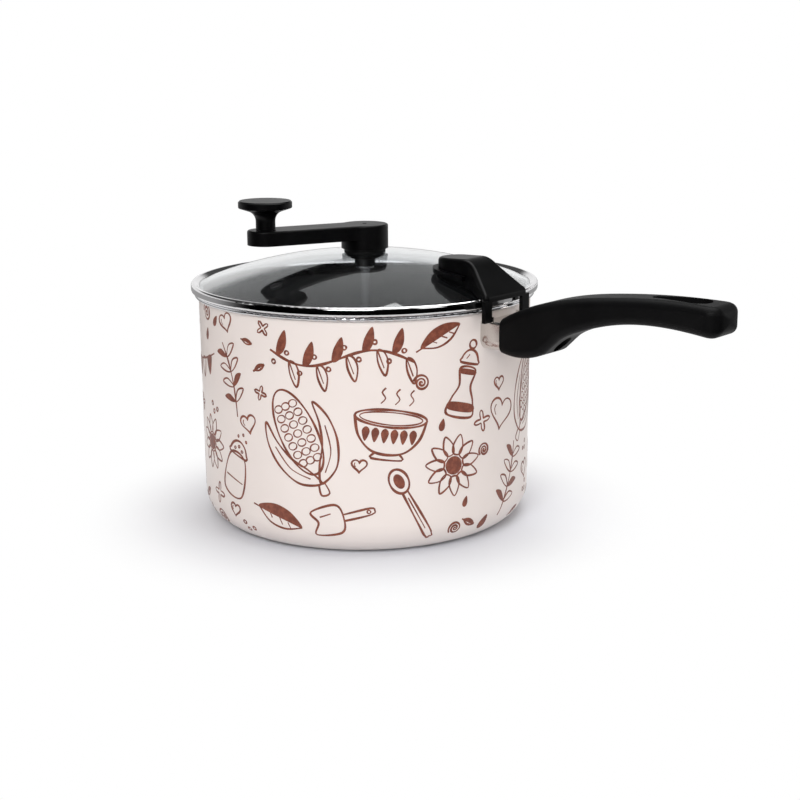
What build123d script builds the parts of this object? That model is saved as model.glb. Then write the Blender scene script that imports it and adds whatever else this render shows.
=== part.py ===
from build123d import *

import math
import os

os.makedirs("parts", exist_ok=True)

# A stovetop popcorn popper: an enamelled pot with a side handle, and a domed glass lid that
# carries a hand crank, its shaft and the wire stirrer that sweeps the pot's floor.
# Millimetres. +Z is up, the origin is on the pot's axis at its base, and the pot's handle
# points along +X. Every radius is measured from the axis of the piece it belongs to.

# ---------------------------------------------------------------- pot
POT_RADIUS = 110.7          # outside of the wall, at the rim
POT_HEIGHT = 154.0
POT_DRAFT = 1.3             # how much smaller the radius is at the base than at the rim
POT_WALL = 2.0
POT_FLOOR = 3.0
POT_CORNER_RADIUS = 21.0
BEAD_OVERHANG = 2.6         # rolled rim, past the wall
BEAD_HEIGHT = 3.0

# ---------------------------------------------------------------- lid
LID_SEAT_GAP = 0.2          # between the rolled rim and the band that sits on it
BAND_OVERHANG = 2.2         # past the rolled rim
BAND_HEIGHT = 5.8
BAND_EDGE_RADIUS = 1.7
BAND_LIP_WIDTH = 5.2        # from the band's outside to where the glass comes out of it
BAND_LIP_DROP = 1.6         # the lip slopes down to the glass by this much
SKIRT_CLEARANCE = 0.8       # between the skirt and the inside of the pot
SKIRT_DEPTH = 6.0
GLASS_THICKNESS = 3.0
GLASS_RISE = 20.1           # from the band's lip to the top of the dome
GLASS_GRIP = 1.4            # how far the glass runs on under the lip
SKIRT_SHEET = 0.6

# ---------------------------------------------------------------- crank bush, through the glass
SHAFT_RADIUS = 3.0
RUNNING_CLEARANCE = 0.05
BUSH_RADIUS = 8.5
GLASS_HOLE_CLEARANCE = 0.5
WASHER_THICKNESS = 0.8
BUSH_FLANGE_RADIUS = 13.8
BUSH_FLANGE_THICKNESS = 1.1
BUSH_LENGTH = 9.5           # below its flange
NUT_FLANGE_RADIUS = 12.6
NUT_CONE_HEIGHT = 3.2
NUT_NECK_RADIUS = 6.8
NUT_HEIGHT = 7.0
BUSH_THREAD_RADIUS = 4.9
BUSH_BARREL_SHORT = 0.3     # the barrel stops short of the glass's underside
NUT_EDGE = 0.8
NUT_EXIT_CLEARANCE = 0.6

# ---------------------------------------------------------------- crank
CRANK_ANGLE = 247.0         # where the arm points, degrees from +X
CRANK_LENGTH = 70.5         # from the shaft's axis to the knob's
HUB_RADIUS = 15.6
HUB_HEIGHT = 16.0
HUB_RUNNING_GAP = 0.3       # above the bush
ARM_THICKNESS = 9.5
ARM_END_RADIUS = 12.0
ARM_NECK_FILLET = 9.0
ARM_EDGE_ROUND = 1.2
ARM_POCKET_DEPTH = 5.0
ARM_POCKET_WALL = 2.8
SHAFT_SOCKET_DEPTH = 11.0   # how far the shaft goes up into the hub
SET_SCREW_RADIUS = 2.0
SET_SCREW_LENGTH = 8.0
SET_SCREW_SOCKET = 1.1
SET_SCREW_RISE = 4.5        # above the hub's underside
HUB_DIMPLE_RADIUS = 1.6
HUB_DIMPLE_DEPTH = 0.4
SHAFT_FLAT = 0.5
CLIP_RADIUS = 6.0
CLIP_THICKNESS = 0.9
CLIP_GROOVE_DEPTH = 0.5
CLIP_MOUTH = 4.6
CLIP_RUNNING_GAP = 0.4

# ---------------------------------------------------------------- knob
KNOB_HEIGHT = 18.6
KNOB_DISC_RADIUS = 17.3
KNOB_DISC_EDGE = 3.4
KNOB_DISC_CHAMFER = 0.9
KNOB_NECK_RADIUS = 6.3
KNOB_NECK_HEIGHT = 5.5
KNOB_FLARE_RADIUS = 10.3
KNOB_FLARE_HEIGHT = 6.2
KNOB_GAP = 0.3
KNOB_PLAY = 0.2
KNOB_SHOULDER_RADIUS = 3.0
KNOB_THREAD_RADIUS = 2.0
KNOB_THREAD_LENGTH = 10.0
KNOB_HEAD_RADIUS = 4.8
KNOB_HEAD_HEIGHT = 2.6
KNOB_HEAD_POCKET = 4.4
KNOB_HEAD_CLEARANCE = 0.8
KNOB_WASHER_THICKNESS = 0.7

# ---------------------------------------------------------------- stirrer
STIRRER_FLOOR_GAP = 0.9
STIRRER_HUB_RADIUS = 6.5
STIRRER_HUB_HEIGHT = 14.0
STIRRER_SOCKET_DEPTH = 8.0
WIRE_RADIUS = 1.75
WIRE_HEIGHT = 2.6           # wire's centre above the underside of its hub
WIRE_REACH = 88.0
WIRE_SWEEP = 20.0           # how far each arm trails sideways
WIRE_STRAIGHT = 34.0        # out from the axis to the first bend
WIRE_UPTURN = 15.0
WIRE_BEND_RADIUS = 9.0
WIRE_SWEEP_RADIUS = 40.0
STIRRER_SCREW_LENGTH = 3.8
STIRRER_SCREW_DROP = 4.0    # below the top of the hub
STIRRER_HUB_CHAMFER = 0.6

# ---------------------------------------------------------------- handle bracket and ferrule
FERRULE_WIDTH = 32.0
FERRULE_HEIGHT = 18.5
FERRULE_TOP = 146.0
FERRULE_LENGTH = 13.3       # from the wall to the handle
FERRULE_SHEET = 1.2
FERRULE_CORNER_RADIUS = 6.5
TAB_HEIGHT = 3.0            # upturned tabs that stop the lid from turning
TAB_LENGTH = 4.0
TAB_THICKNESS = 1.2
TAB_INSET = 0.5
BRACKET_PLATE = 2.5
BRACKET_CLEARANCE = 0.5     # to the ferrule round it
BOSS_RADIUS = 5.2
RIVET_RADIUS = 2.5
RIVET_HEAD_RADIUS = 5.0
RIVET_HEAD_HEIGHT = 1.6
RIVET_TAIL_RADIUS = 3.4
RIVET_TAIL_HEIGHT = 1.3
RIVET_SPACING = 20.0
FIXED_CLEARANCE = 0.05

# ---------------------------------------------------------------- pot handle
HANDLE_LENGTH = 151.0       # from the ferrule to the end
HANDLE_ROOT_HALF_WIDTH = 16.2
HANDLE_WAIST_HALF_WIDTH = 13.6
HANDLE_END_HALF_WIDTH = 15.8
HANDLE_ROOT_HEIGHT = 22.0
HANDLE_ROOT_DROP = 0.8      # the root starts this much below the ferrule
HANDLE_CROWN = 171.9        # top of the grip
HANDLE_GRIP_DEPTH = 16.4
HEEL_LENGTH = 31.0
HEEL_DROP = 2.2             # lowest point of the heel, below the ferrule
HEEL_RISE = 4.6             # from there up to the heel's outboard corner
HANDLE_EDGE_ROUND = 5.0
HANDLE_END_ROUND = 6.5      # corners of the end, seen from the side
HANDLE_CORNER_ROUND = 9.0   # corners of the end, seen from above
HANDLE_END_BOW = 3.0
HEEL_ROUND = 7.0
SLOT_END_RADIUS = 9.0       # hanging eye: wide outboard, narrow inboard
SLOT_TIP_RADIUS = 3.6
SLOT_LENGTH = 26.0          # between the two arc centres
SLOT_END_MARGIN = 22.0      # from the wide arc's centre to the handle's end
SLOT_EDGE_ROUND = 1.2
SCREW_HEIGHT = 134.8
SCREW_RADIUS = 2.5
SCREW_HEAD_RADIUS = 4.4
SCREW_HEAD_HEIGHT = 3.4
SCREW_SEAT = 24.0           # from the handle's root to the seat of the screw's washer
SCREW_POCKET_CLEARANCE = 0.8
SCREW_HOLE_CLEARANCE = 0.3
SCREW_WASHER_THICKNESS = 1.0

# ---------------------------------------------------------------- lid grip
GRIP_TIP_X = 66.2           # the rounded end nearest the lid's centre
GRIP_HALF_WIDTH = 11.8
GRIP_FLARE_X = 98.5         # where the sides start to flare
GRIP_FLARE_FILLET = 14.0
GRIP_CORNER_ROUND = 2.6     # the two outboard corners, seen from above
GRIP_FRONT_CLEARANCE = 0.3  # to the band that its front wall hangs over
GRIP_FRONT_WALL = 2.6
GRIP_TOP = 182.4
GRIP_SHOULDER_X = 96.5
GRIP_SHOULDER_FILLET = 14.0
GRIP_FRONT_TOP = 161.9
GRIP_FRONT_BOTTOM = 158.6
GRIP_EDGE_ROUND = 2.2
GRIP_CROWN_DROP = 1.3       # the top falls this much towards the tip
LIP_WIDTH = 3.6
LIP_THICKNESS = 3.0
LIP_END_X = 94.0
LIP_TIP_HEIGHT = 173.3      # underside, at the tip
LIP_END_HEIGHT = 168.8      # underside, at its outboard end
PRONG_WIDTH = 7.2
PRONG_BOTTOM = 146.0
PRONG_TAB_CLEARANCE = 0.5   # between a prong and the ferrule's tab
GASKET_THICKNESS = 1.2
GASKET_INSET = 1.6
GASKET_END_X = 105.0
CLAMP_THICKNESS = 2.6
CLAMP_WIDER = 1.4           # clamp plate past the grip's sides
CLAMP_BOSS_RADIUS = 5.4
GRIP_SCREW_RADIUS = 2.0
GRIP_SCREW_HEAD_RADIUS = 4.0
GRIP_SCREW_HEAD_HEIGHT = 2.2
GRIP_SCREW_DEPTH = 8.0      # into the grip
GRIP_SCREW_X = (78.0, 97.0)
GRIP_SCREW_HOLE_CLEARANCE = 0.4

# ---------------------------------------------------------------- places worked out from them
BEAD_RADIUS = POT_RADIUS + BEAD_OVERHANG
POT_INNER_RADIUS = POT_RADIUS - POT_WALL
BAND_RADIUS = BEAD_RADIUS + BAND_OVERHANG
BAND_BOTTOM = POT_HEIGHT + LID_SEAT_GAP
BAND_TOP = BAND_BOTTOM + BAND_HEIGHT
LIP_RADIUS = BAND_RADIUS - BAND_LIP_WIDTH
LIP_HEIGHT = BAND_TOP - BAND_LIP_DROP
GLASS_EDGE_RADIUS = LIP_RADIUS + GLASS_GRIP
GLASS_APEX = LIP_HEIGHT + GLASS_RISE
GLASS_SPHERE = (LIP_RADIUS**2 + GLASS_RISE**2) / (2 * GLASS_RISE)
GLASS_CENTRE = GLASS_APEX - GLASS_SPHERE
BUSH_FLANGE_BOTTOM = GLASS_APEX + WASHER_THICKNESS
BUSH_TOP = BUSH_FLANGE_BOTTOM + BUSH_FLANGE_THICKNESS
NUT_TOP = GLASS_APEX - GLASS_THICKNESS - WASHER_THICKNESS
NUT_BOTTOM = NUT_TOP - NUT_HEIGHT
BUSH_BOTTOM = BUSH_FLANGE_BOTTOM - BUSH_LENGTH
HUB_BOTTOM = BUSH_TOP + HUB_RUNNING_GAP
HUB_TOP = HUB_BOTTOM + HUB_HEIGHT
ARM_BOTTOM = HUB_TOP - ARM_THICKNESS
SHAFT_TOP = HUB_BOTTOM + SHAFT_SOCKET_DEPTH
SET_SCREW_HEIGHT = HUB_BOTTOM + SET_SCREW_RISE
CLIP_TOP = min(NUT_BOTTOM, BUSH_BOTTOM) - CLIP_RUNNING_GAP
KNOB_BOTTOM = HUB_TOP + KNOB_GAP
KNOB_TOP = KNOB_BOTTOM + KNOB_HEIGHT
STIRRER_BOTTOM = POT_FLOOR + STIRRER_FLOOR_GAP
STIRRER_TOP = STIRRER_BOTTOM + STIRRER_HUB_HEIGHT
SHAFT_BOTTOM = STIRRER_TOP - STIRRER_SOCKET_DEPTH
STIRRER_SCREW_HEIGHT = STIRRER_TOP - STIRRER_SCREW_DROP
FERRULE_BOTTOM = FERRULE_TOP - FERRULE_HEIGHT
FERRULE_HALF_WIDTH = FERRULE_WIDTH / 2
HANDLE_ROOT = POT_RADIUS + FERRULE_LENGTH
HANDLE_END = HANDLE_ROOT + HANDLE_LENGTH
HANDLE_BOTTOM = FERRULE_BOTTOM - HEEL_DROP
GRIP_FRONT_INSIDE = BAND_RADIUS + GRIP_FRONT_CLEARANCE
GRIP_FRONT = GRIP_FRONT_INSIDE + GRIP_FRONT_WALL
PRONG_INSIDE = FERRULE_HALF_WIDTH - TAB_INSET + PRONG_TAB_CLEARANCE
GRIP_END_HALF_WIDTH = PRONG_INSIDE + PRONG_WIDTH
GRIP_TIP_CENTRE = GRIP_TIP_X + GRIP_HALF_WIDTH

TALL = 400.0                # longer than the whole object, for cutting right through


def wall_radius(z):
    """Outside radius of the pot's wall at a height."""
    return POT_RADIUS - POT_DRAFT * (1 - z / POT_HEIGHT)


def dome_height(radius, offset=0.0):
    """Height of the sphere that lies offset above the top of the glass."""
    return GLASS_CENTRE + math.sqrt((GLASS_SPHERE + offset) ** 2 - radius**2)


def profile(points):
    """Straight edges through points given as radius and height, closed."""
    return Wire(Polyline(*[(r, 0, z) for r, z in points], close=True).edges())


def disc(radius, bottom, top):
    return Pos(0, 0, bottom) * Cylinder(radius, top - bottom, align=(Align.CENTER, Align.CENTER, Align.MIN))


def ring(inner, outer, bottom, top):
    return disc(outer, bottom, top) - disc(inner, bottom - 1, top + 1)


def block(low, high):
    """A box between two corners."""
    size = [b - a for a, b in zip(low, high)]
    middle = [(a + b) / 2 for a, b in zip(low, high)]
    return Pos(*middle) * Box(*size)


def along_x(radius, start, end, y, z):
    """A round bar parallel to X."""
    return Pos((start + end) / 2, y, z) * Rot(0, 90, 0) * Cylinder(radius, end - start)


def is_vertical(edge):
    span = edge @ 1 - edge @ 0
    return abs(span.Z) > 0.99 * span.length


def runs_across(edge):
    """A straight edge from side to side, such as the join between two faces of a top."""
    return edge.geom_type == GeomType.LINE and abs(edge.center().Y) < 0.01


def both_sides(piece):
    """A piece and its mirror image across the XZ plane."""
    return piece, mirror(piece, Plane.XZ)


# ---------------------------------------------------------------- pot
def pot_solid(outer_only):
    """The pot as a vessel, or as the solid plug that its outside encloses."""
    base_radius = wall_radius(0)
    bead_bottom = POT_HEIGHT - BEAD_HEIGHT
    outside = [
        (0, 0),
        (base_radius, 0),
        (wall_radius(bead_bottom), bead_bottom),
        (BEAD_RADIUS, bead_bottom),
        (BEAD_RADIUS, POT_HEIGHT),
    ]
    if outer_only:
        section = make_face(profile(outside + [(0, POT_HEIGHT)]))
    else:
        inside = [
            (POT_INNER_RADIUS, POT_HEIGHT),
            (base_radius - POT_WALL, POT_FLOOR),
            (0, POT_FLOOR),
        ]
        section = make_face(profile(outside + inside))

    def corner(radius, z):
        return section.vertices().sort_by_distance((radius, 0, z))[0]

    section = Sketch() + section
    section = fillet(corner(base_radius, 0), POT_CORNER_RADIUS)
    bead_corners = [corner(BEAD_RADIUS, bead_bottom), corner(BEAD_RADIUS, POT_HEIGHT)]
    section = fillet(bead_corners, BEAD_HEIGHT * 0.45)
    if not outer_only:
        floor_corner = corner(base_radius - POT_WALL, POT_FLOOR)
        section = fillet(floor_corner, POT_CORNER_RADIUS - POT_WALL)
    return revolve(section, Axis.Z)


def rivet_places():
    """The rivets stand square to the wall, side by side inside the ferrule."""
    turn = math.degrees(math.asin(RIVET_SPACING / 2 / POT_RADIUS))
    height = (FERRULE_BOTTOM + FERRULE_TOP) / 2
    return [Rot(0, 0, side * turn) * Pos(0, 0, height) for side in (-1, 1)]


def rivet_bar(radius, start, end):
    return [place * along_x(radius, start, end, 0, 0) for place in rivet_places()]


def make_pot_shell():
    shell = pot_solid(outer_only=False)
    for hole in rivet_bar(RIVET_RADIUS + FIXED_CLEARANCE, POT_INNER_RADIUS - 10, POT_RADIUS + 10):
        shell -= hole
    return shell


def make_rivets(shell, bracket):
    """Domed heads inside the pot, shanks through wall and bracket, upset tails outside."""
    plate_outside = POT_RADIUS + BRACKET_PLATE
    tail_end = plate_outside + RIVET_TAIL_HEIGHT
    inner_face = wall_radius((FERRULE_BOTTOM + FERRULE_TOP) / 2) - POT_WALL
    rivets = []
    for place in rivet_places():
        head_start = inner_face - RIVET_HEAD_HEIGHT
        head = along_x(RIVET_HEAD_RADIUS, head_start, inner_face + POT_WALL / 2, 0, 0)
        head = chamfer(head.edges().sort_by(Axis.X)[0], RIVET_HEAD_HEIGHT / 2)
        shank = along_x(RIVET_RADIUS, inner_face, tail_end, 0, 0)
        tail = along_x(RIVET_TAIL_RADIUS, plate_outside - BRACKET_PLATE / 2, tail_end, 0, 0)
        rivets.append(place * (head + shank + tail) - shell - bracket)
    return rivets


def ferrule_section(inset):
    """The ferrule's outline across X: round lower corners, square upper ones."""
    width = FERRULE_WIDTH - 2 * inset
    height = FERRULE_HEIGHT - 2 * inset
    outline = Rectangle(width, height)
    low = outline.vertices().sort_by(Axis.Y)[:2]
    outline = fillet(low, FERRULE_CORNER_RADIUS - inset)
    high = outline.vertices().sort_by(Axis.Y)[-2:]
    outline = fillet(high, max(1.6 - inset, 0.4))
    return outline


def ferrule_bar(inset, start, end):
    """The ferrule's outline carried along X."""
    middle = (FERRULE_BOTTOM + FERRULE_TOP) / 2
    plane = Plane((start, 0, middle), x_dir=(0, 1, 0), z_dir=(1, 0, 0))
    return extrude(plane * ferrule_section(inset), end - start)


def make_ferrule(pot_plug):
    outside = ferrule_bar(0, POT_RADIUS - 8, HANDLE_ROOT)
    inside = ferrule_bar(FERRULE_SHEET, POT_RADIUS - 9, HANDLE_ROOT + 1)
    sleeve = outside - inside - pot_plug
    tab_outside = FERRULE_HALF_WIDTH - TAB_INSET
    tab_end = GRIP_FRONT
    tab = block(
        (tab_end - TAB_LENGTH, tab_outside - TAB_THICKNESS, FERRULE_TOP - FERRULE_SHEET / 2),
        (tab_end, tab_outside, FERRULE_TOP + TAB_HEIGHT),
    )
    for piece in both_sides(tab):
        sleeve += piece
    return sleeve


def make_bracket(pot_plug):
    """Riveted plate with a threaded boss for the handle's screw."""
    inset = FERRULE_SHEET + BRACKET_CLEARANCE
    plate = ferrule_bar(inset, POT_RADIUS - 8, POT_RADIUS + BRACKET_PLATE)
    boss = along_x(BOSS_RADIUS, POT_RADIUS, HANDLE_ROOT, 0, SCREW_HEIGHT)
    bracket = plate + boss - pot_plug
    thread = along_x(SCREW_RADIUS + FIXED_CLEARANCE, POT_RADIUS + BRACKET_PLATE, TALL, 0, SCREW_HEIGHT)
    bracket -= thread
    for hole in rivet_bar(RIVET_RADIUS + FIXED_CLEARANCE, POT_INNER_RADIUS - 10, POT_RADIUS + 20):
        bracket -= hole
    return bracket


# ---------------------------------------------------------------- pot handle
def handle_side():
    """Side view in XZ: a deep heel, a rising back and a long shallow arch for the palm."""
    root = HANDLE_ROOT
    end = HANDLE_END
    reach = HANDLE_LENGTH
    crown = HANDLE_CROWN
    palm = crown - HANDLE_GRIP_DEPTH
    root_bottom = FERRULE_BOTTOM - HANDLE_ROOT_DROP
    root_top = root_bottom + HANDLE_ROOT_HEIGHT
    heel_end = root + HEEL_LENGTH
    top = Spline(
        (root, 0, root_top),
        (root + 0.22 * reach, 0, root_top + 0.58 * (crown - root_top)),
        (root + 0.50 * reach, 0, crown - 2.6),
        (root + 0.76 * reach, 0, crown),
        (end - 3, 0, crown - 0.6),
    )
    middle = (end, 0, crown - HANDLE_GRIP_DEPTH / 2)
    end_face = ThreePointArc(top @ 1, middle, (end - 4, 0, palm - 2.6))
    under = Spline(
        end_face @ 1,
        (root + 0.74 * reach, 0, palm),
        (root + 0.54 * reach, 0, palm - 2.0),
        (root + 0.36 * reach, 0, palm - 9.6),
        (heel_end + 10, 0, palm - 16.4),
        tangents=((-1, 0, 0.1), (-1, 0, -0.8)),
    )
    step = Line(under @ 1, (heel_end, 0, HANDLE_BOTTOM + HEEL_RISE))
    heel_middle = (root + HEEL_LENGTH / 2, 0, HANDLE_BOTTOM)
    heel = ThreePointArc(step @ 1, heel_middle, (root, 0, root_bottom))
    front = Line(heel @ 1, top @ 0)
    outline = Sketch() + make_face(Curve() + [top, end_face, under, step, heel, front])
    for place, radius in (
        (top @ 1, HANDLE_END_ROUND),
        (end_face @ 1, HANDLE_END_ROUND),
        (step @ 0, HEEL_ROUND),
        (step @ 1, HEEL_ROUND),
    ):
        outline = fillet(outline.vertices().sort_by_distance(place)[0], radius)
    return outline.face()


def handle_plan():
    """Top view in XY: a slight waist, and a bowed end with round corners."""
    root = HANDLE_ROOT
    reach = HANDLE_LENGTH
    corner_x = HANDLE_END - HANDLE_END_BOW
    side = Spline(
        (root, HANDLE_ROOT_HALF_WIDTH),
        (root + 0.2 * reach, HANDLE_ROOT_HALF_WIDTH - 0.6),
        (root + 0.5 * reach, HANDLE_WAIST_HALF_WIDTH),
        (corner_x, HANDLE_END_HALF_WIDTH),
    )
    bow = ThreePointArc(side @ 1, (HANDLE_END, 0), (corner_x, -HANDLE_END_HALF_WIDTH))
    front = Line((root, HANDLE_ROOT_HALF_WIDTH), (root, -HANDLE_ROOT_HALF_WIDTH))
    outline = Sketch() + make_face(Curve() + [side, bow, mirror(side, Plane.XZ), front])
    corners = outline.vertices().group_by(Axis.X)[-1]
    return fillet(corners, HANDLE_CORNER_ROUND)


def across_y(face):
    """A face drawn in XZ, carried right across the object along Y."""
    return extrude(Pos(0, -TALL / 2, 0) * face, TALL, dir=(0, 1, 0))


def up_z(face, bottom=0.0, height=TALL):
    """A face drawn in XY, carried up Z."""
    return extrude(Pos(0, 0, bottom) * face, height, dir=(0, 0, 1))


def slot_plan():
    """Teardrop eye: two circles and their outer tangents."""
    wide_x = HANDLE_END - SLOT_END_MARGIN
    narrow_x = wide_x - SLOT_LENGTH
    wide = Pos(wide_x, 0) * Circle(SLOT_END_RADIUS)
    narrow = Pos(narrow_x, 0) * Circle(SLOT_TIP_RADIUS)
    return make_hull(wide.edges() + narrow.edges())


def make_handle():
    body = across_y(handle_side()) & up_z(handle_plan().face())
    rim = [
        edge for edge in body.edges()
        if edge.center().X > HANDLE_ROOT + 0.1 and not is_vertical(edge) and not runs_across(edge)
    ]
    body = fillet(rim, HANDLE_EDGE_ROUND)
    body -= up_z(slot_plan())
    seat = HANDLE_ROOT + SCREW_SEAT
    pocket_end = HANDLE_ROOT + 2 * HEEL_LENGTH
    body -= along_x(SCREW_HEAD_RADIUS + SCREW_POCKET_CLEARANCE, seat, pocket_end, 0, SCREW_HEIGHT)
    body -= along_x(SCREW_RADIUS + SCREW_HOLE_CLEARANCE, HANDLE_ROOT - 1, seat + 1, 0, SCREW_HEIGHT)
    return body


def make_handle_washer():
    seat = HANDLE_ROOT + SCREW_SEAT
    end = seat + SCREW_WASHER_THICKNESS
    washer = along_x(SCREW_HEAD_RADIUS, seat, end, 0, SCREW_HEIGHT)
    return washer - along_x(SCREW_RADIUS + SCREW_HOLE_CLEARANCE, seat - 1, end + 1, 0, SCREW_HEIGHT)


def make_handle_screw():
    """Cheese-head screw that runs through the heel into the bracket's boss."""
    under_head = HANDLE_ROOT + SCREW_SEAT + SCREW_WASHER_THICKNESS
    top = under_head + SCREW_HEAD_HEIGHT
    shank_end = POT_RADIUS + BRACKET_PLATE + 1
    screw = along_x(SCREW_RADIUS, shank_end, under_head + 0.5, 0, SCREW_HEIGHT)
    screw += along_x(SCREW_HEAD_RADIUS, under_head, top, 0, SCREW_HEIGHT)
    slot_half = 0.5
    slot = block(
        (top - SCREW_HEAD_HEIGHT / 2, -SCREW_HEAD_RADIUS - 1, SCREW_HEIGHT - slot_half),
        (top + 1, SCREW_HEAD_RADIUS + 1, SCREW_HEIGHT + slot_half),
    )
    return screw - slot


# ---------------------------------------------------------------- lid
def dome_solid(offset=0.0):
    """The whole ball whose top lies offset above the glass."""
    return Pos(0, 0, GLASS_CENTRE) * Sphere(GLASS_SPHERE + offset)


def dome_arc(inner, outer, offset):
    middle = (inner + outer) / 2
    return ThreePointArc(
        (inner, 0, dome_height(inner, offset)),
        (middle, 0, dome_height(middle, offset)),
        (outer, 0, dome_height(outer, offset)),
    )


def make_glass():
    hole = BUSH_RADIUS + GLASS_HOLE_CLEARANCE
    top = dome_arc(hole, GLASS_EDGE_RADIUS, 0)
    under = dome_arc(hole, GLASS_EDGE_RADIUS, -GLASS_THICKNESS)
    inner_edge = Line(top @ 0, under @ 0)
    outer_edge = Line(top @ 1, under @ 1)
    glass = revolve(make_face(Curve() + [top, under, inner_edge, outer_edge]), Axis.Z)
    for x in GRIP_SCREW_X:
        glass -= Pos(x, 0, 0) * disc(GRIP_SCREW_RADIUS + 2 * GRIP_SCREW_HOLE_CLEARANCE, 0, TALL)
    return glass


def make_rim(glass):
    """Rolled steel band: it holds the glass's edge, sits on the pot and drops a skirt inside."""
    skirt_outside = POT_INNER_RADIUS - SKIRT_CLEARANCE
    skirt_inside = skirt_outside - SKIRT_SHEET
    skirt_bottom = BAND_BOTTOM - SKIRT_DEPTH
    glass_foot = dome_height(GLASS_EDGE_RADIUS, -GLASS_THICKNESS)
    section = Sketch() + make_face(profile([
        (skirt_inside, skirt_bottom),
        (skirt_outside, skirt_bottom),
        (skirt_outside, BAND_BOTTOM),
        (BAND_RADIUS, BAND_BOTTOM),
        (BAND_RADIUS, BAND_TOP),
        (BAND_RADIUS - BAND_LIP_WIDTH / 2, BAND_TOP),
        (LIP_RADIUS, LIP_HEIGHT),
        (LIP_RADIUS, LIP_HEIGHT - GLASS_THICKNESS / 3),
        (GLASS_EDGE_RADIUS - GLASS_GRIP / 2, glass_foot + GLASS_THICKNESS / 3),
        (GLASS_EDGE_RADIUS, glass_foot),
        (skirt_inside, glass_foot),
    ]))
    corners = [v for v in section.vertices() if abs(v.X - BAND_RADIUS) < 0.01]
    section = fillet(corners, BAND_EDGE_RADIUS)
    return revolve(section, Axis.Z) - glass


def grip_strip(margin, end_x):
    """The grip's narrow part in plan, grown by a margin, from its round tip to a straight end."""
    radius = GRIP_HALF_WIDTH + margin
    tip = Pos(GRIP_TIP_CENTRE, 0) * Circle(radius)
    length = end_x - GRIP_TIP_CENTRE
    return tip + Pos(GRIP_TIP_CENTRE + length / 2, 0) * Rectangle(length, 2 * radius)


def grip_plan():
    """The strip, opening out like a tail towards the pot's handle."""
    half = Polyline(
        (GRIP_TIP_CENTRE, GRIP_HALF_WIDTH),
        (GRIP_FLARE_X, GRIP_HALF_WIDTH),
        (GRIP_FRONT, GRIP_END_HALF_WIDTH),
        (GRIP_FRONT, 0),
    )
    tail = make_face(half + mirror(half, Plane.XZ) + Line((GRIP_TIP_CENTRE, -GRIP_HALF_WIDTH), half @ 0))
    plan = Sketch() + tail + Pos(GRIP_TIP_CENTRE, 0) * Circle(GRIP_HALF_WIDTH)
    bends = [v for v in plan.vertices() if abs(v.X - GRIP_FLARE_X) < 0.01]
    plan = fillet(bends, GRIP_FLARE_FILLET)
    corners = [v for v in plan.vertices() if v.X > GRIP_FRONT - 0.01 and abs(v.Y) > PRONG_INSIDE]
    return fillet(corners, GRIP_CORNER_ROUND)


def grip_side():
    """Side view in XZ: flat top, then a ramp down to the front wall over the band."""
    back = GRIP_TIP_X - 10
    section = Sketch() + make_face(profile([
        (back, 0),
        (back, GRIP_TOP - GRIP_CROWN_DROP),
        (GRIP_SHOULDER_X, GRIP_TOP),
        (GRIP_FRONT, GRIP_FRONT_TOP),
        (GRIP_FRONT, 0),
    ]))
    shoulder = section.vertices().sort_by_distance((GRIP_SHOULDER_X, 0, GRIP_TOP))[0]
    return fillet(shoulder, GRIP_SHOULDER_FILLET)


def make_grip():
    body = across_y(grip_side().face()) & up_z(grip_plan())
    rim = [
        edge for edge in body.edges()
        if edge.center().Z > GRIP_FRONT_BOTTOM and not is_vertical(edge)
        and not (runs_across(edge) and edge.center().X < GRIP_FRONT - 0.1)
    ]
    body = fillet(rim, GRIP_EDGE_ROUND)

    lip_section = make_face(profile([
        (GRIP_TIP_X - 10, LIP_TIP_HEIGHT),
        (LIP_END_X, LIP_END_HEIGHT),
        (LIP_END_X, LIP_END_HEIGHT + LIP_THICKNESS),
        (GRIP_TIP_X - 10, LIP_TIP_HEIGHT + LIP_THICKNESS),
    ]))
    body += across_y(lip_section) & up_z(grip_strip(LIP_WIDTH, LIP_END_X))

    seat_top = BAND_TOP + GRIP_FRONT_CLEARANCE
    body -= dome_solid(GASKET_THICKNESS)
    body -= disc(GRIP_FRONT_INSIDE, GRIP_FRONT_BOTTOM - 200, seat_top)
    body -= block((GRIP_TIP_X, -TALL, -1), (TALL, TALL, GRIP_FRONT_BOTTOM))
    prong = block(
        (GRIP_FRONT_INSIDE, PRONG_INSIDE, PRONG_BOTTOM),
        (GRIP_FRONT, GRIP_END_HALF_WIDTH, GRIP_FRONT_BOTTOM + 1),
    )
    for piece in both_sides(prong):
        body += piece
    for x in GRIP_SCREW_X:
        hole_top = dome_height(x) + GASKET_THICKNESS + GRIP_SCREW_DEPTH + 1
        body -= Pos(x, 0, 0) * disc(GRIP_SCREW_RADIUS + FIXED_CLEARANCE, 0, hole_top)
    return body


def dome_layer(plan, low, high):
    """A plate of even thickness that follows the glass, between two offsets from its top."""
    return (up_z(plan) & dome_solid(high)) - dome_solid(low)


def make_gasket():
    gasket = dome_layer(grip_strip(-GASKET_INSET, GASKET_END_X), 0, GASKET_THICKNESS)
    for x in GRIP_SCREW_X:
        gasket -= Pos(x, 0, 0) * disc(GRIP_SCREW_RADIUS + GRIP_SCREW_HOLE_CLEARANCE, 0, TALL)
    return gasket


def clamp_boss_bottom(x):
    """The flat under each clamp boss, just below the plate's lowest point there."""
    return dome_height(x + CLAMP_BOSS_RADIUS, -GLASS_THICKNESS - CLAMP_THICKNESS) - 0.2


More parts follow.
